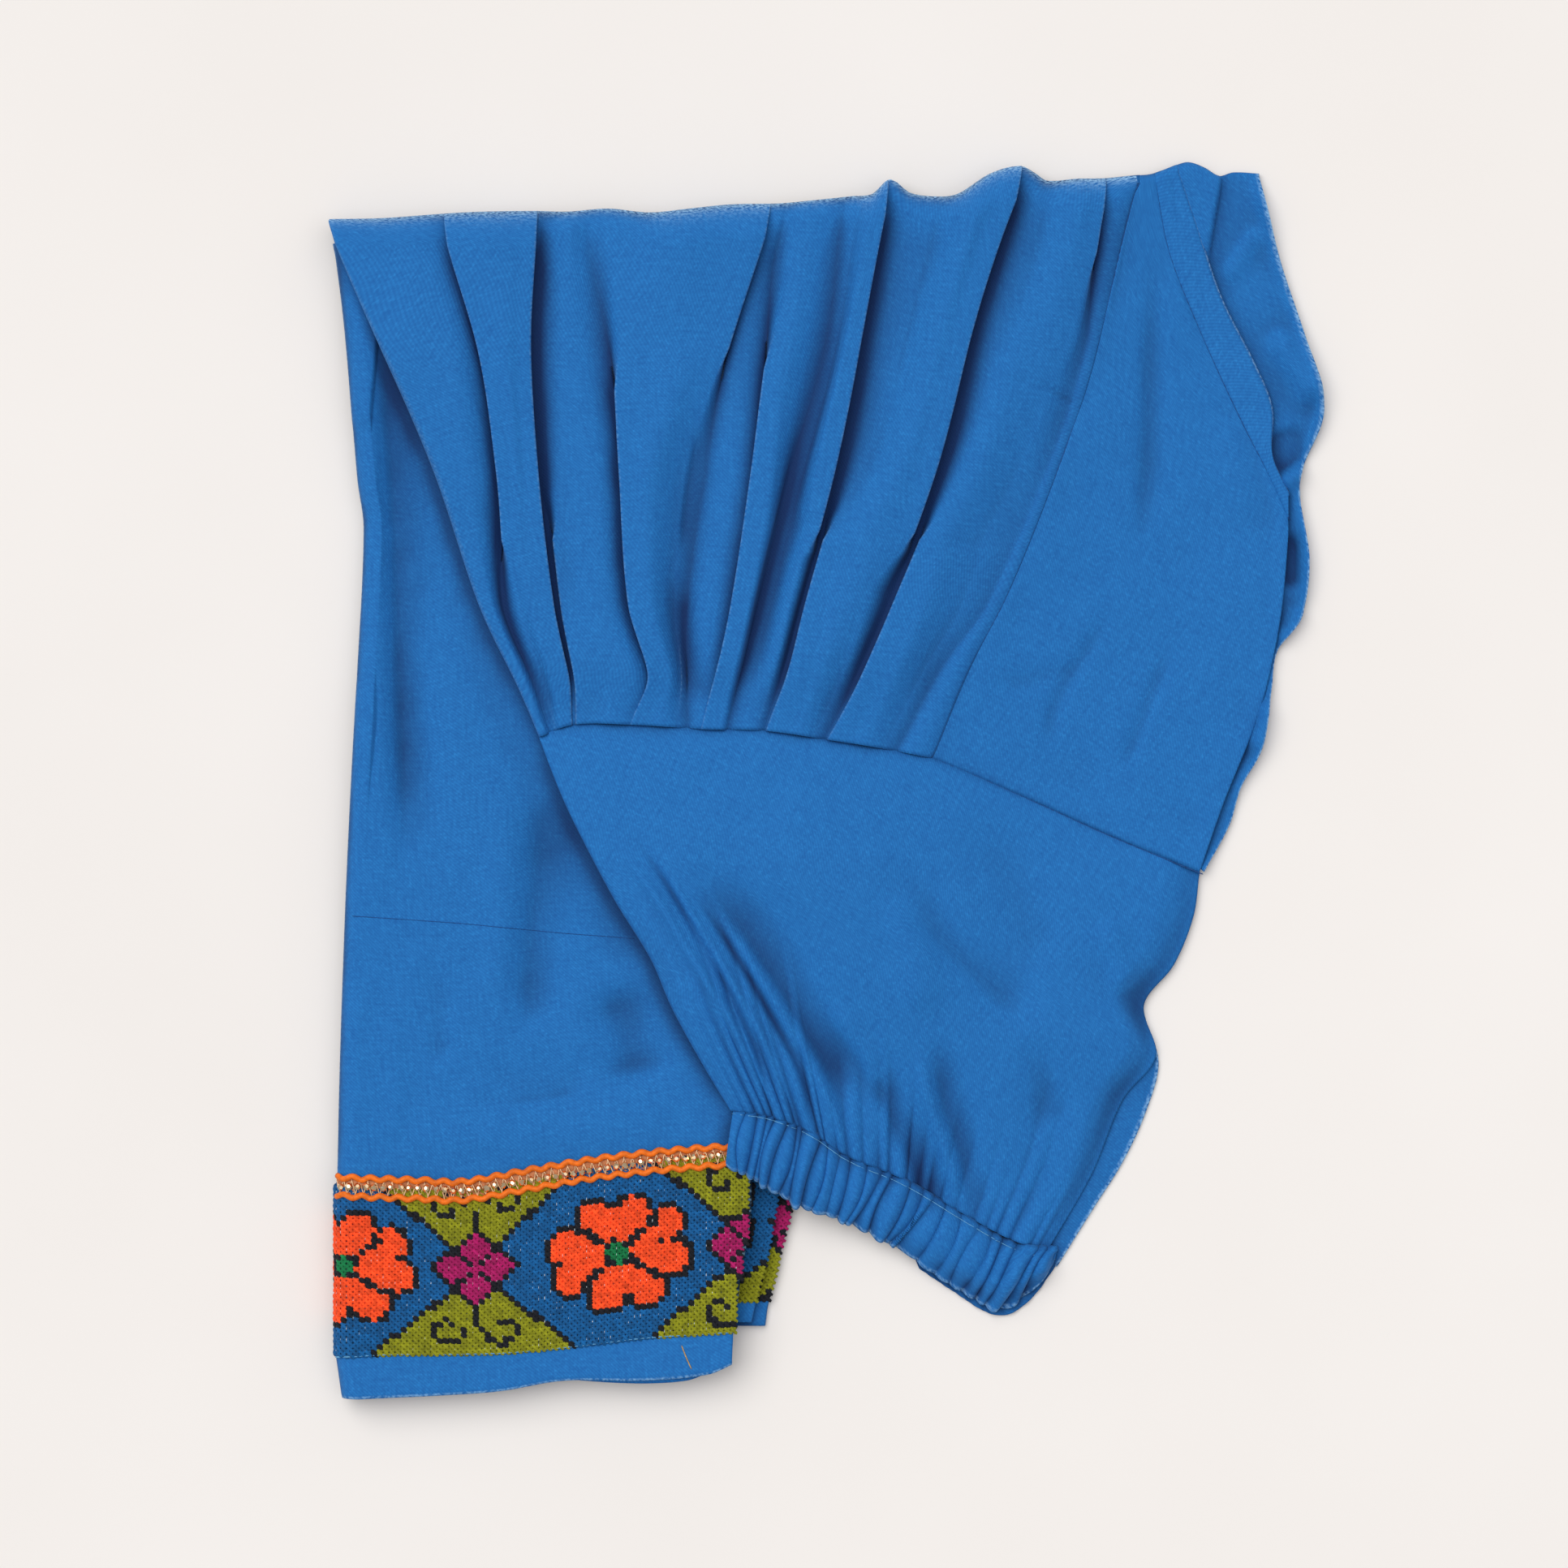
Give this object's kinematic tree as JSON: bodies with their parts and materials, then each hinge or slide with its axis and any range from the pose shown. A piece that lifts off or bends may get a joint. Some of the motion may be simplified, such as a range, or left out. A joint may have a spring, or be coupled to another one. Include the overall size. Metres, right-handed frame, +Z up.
{
  "type": "frock",
  "caption": "Long cotton frock folded flat: skirt column with stitched hem band and braid, pleated front, plain bodice, gathered puff sleeve with elastic cuff.",
  "frame": {"origin": "middle of the folded frock's outline on the surface that it lies on", "axes": "+X to the right across the folded frock, +Y from the hem to the top fold, +Z up from the surface"},
  "size_m": [0.332, 0.4113, 0.0226],
  "materials": {
    "cotton": "matt plain cotton, mid blue",
    "stitched_canvas": "counted cross stitch on open canvas",
    "braid_cord": "soft orange cord braid",
    "gilt_bead": "gilt faceted beads",
    "thread": "light blue sewing thread"
  },
  "bodies": {
    "root": {"skirt_folds": "cotton", "skirt_panel": "cotton", "stitch_band": "stitched_canvas", "hem_band": "cotton", "braid": "braid_cord", "upper_fold_edge": "stitched_canvas", "lower_fold_edge": "stitched_canvas", "skirt_front": "cotton", "bodice_front": "cotton", "neck_facing": "cotton", "bodice_back": "cotton", "sleeve_front": "cotton", "sleeve_back": "cotton", "cuff_front": "cotton", "cuff_back": "cotton"}
  },
  "joints": []
}
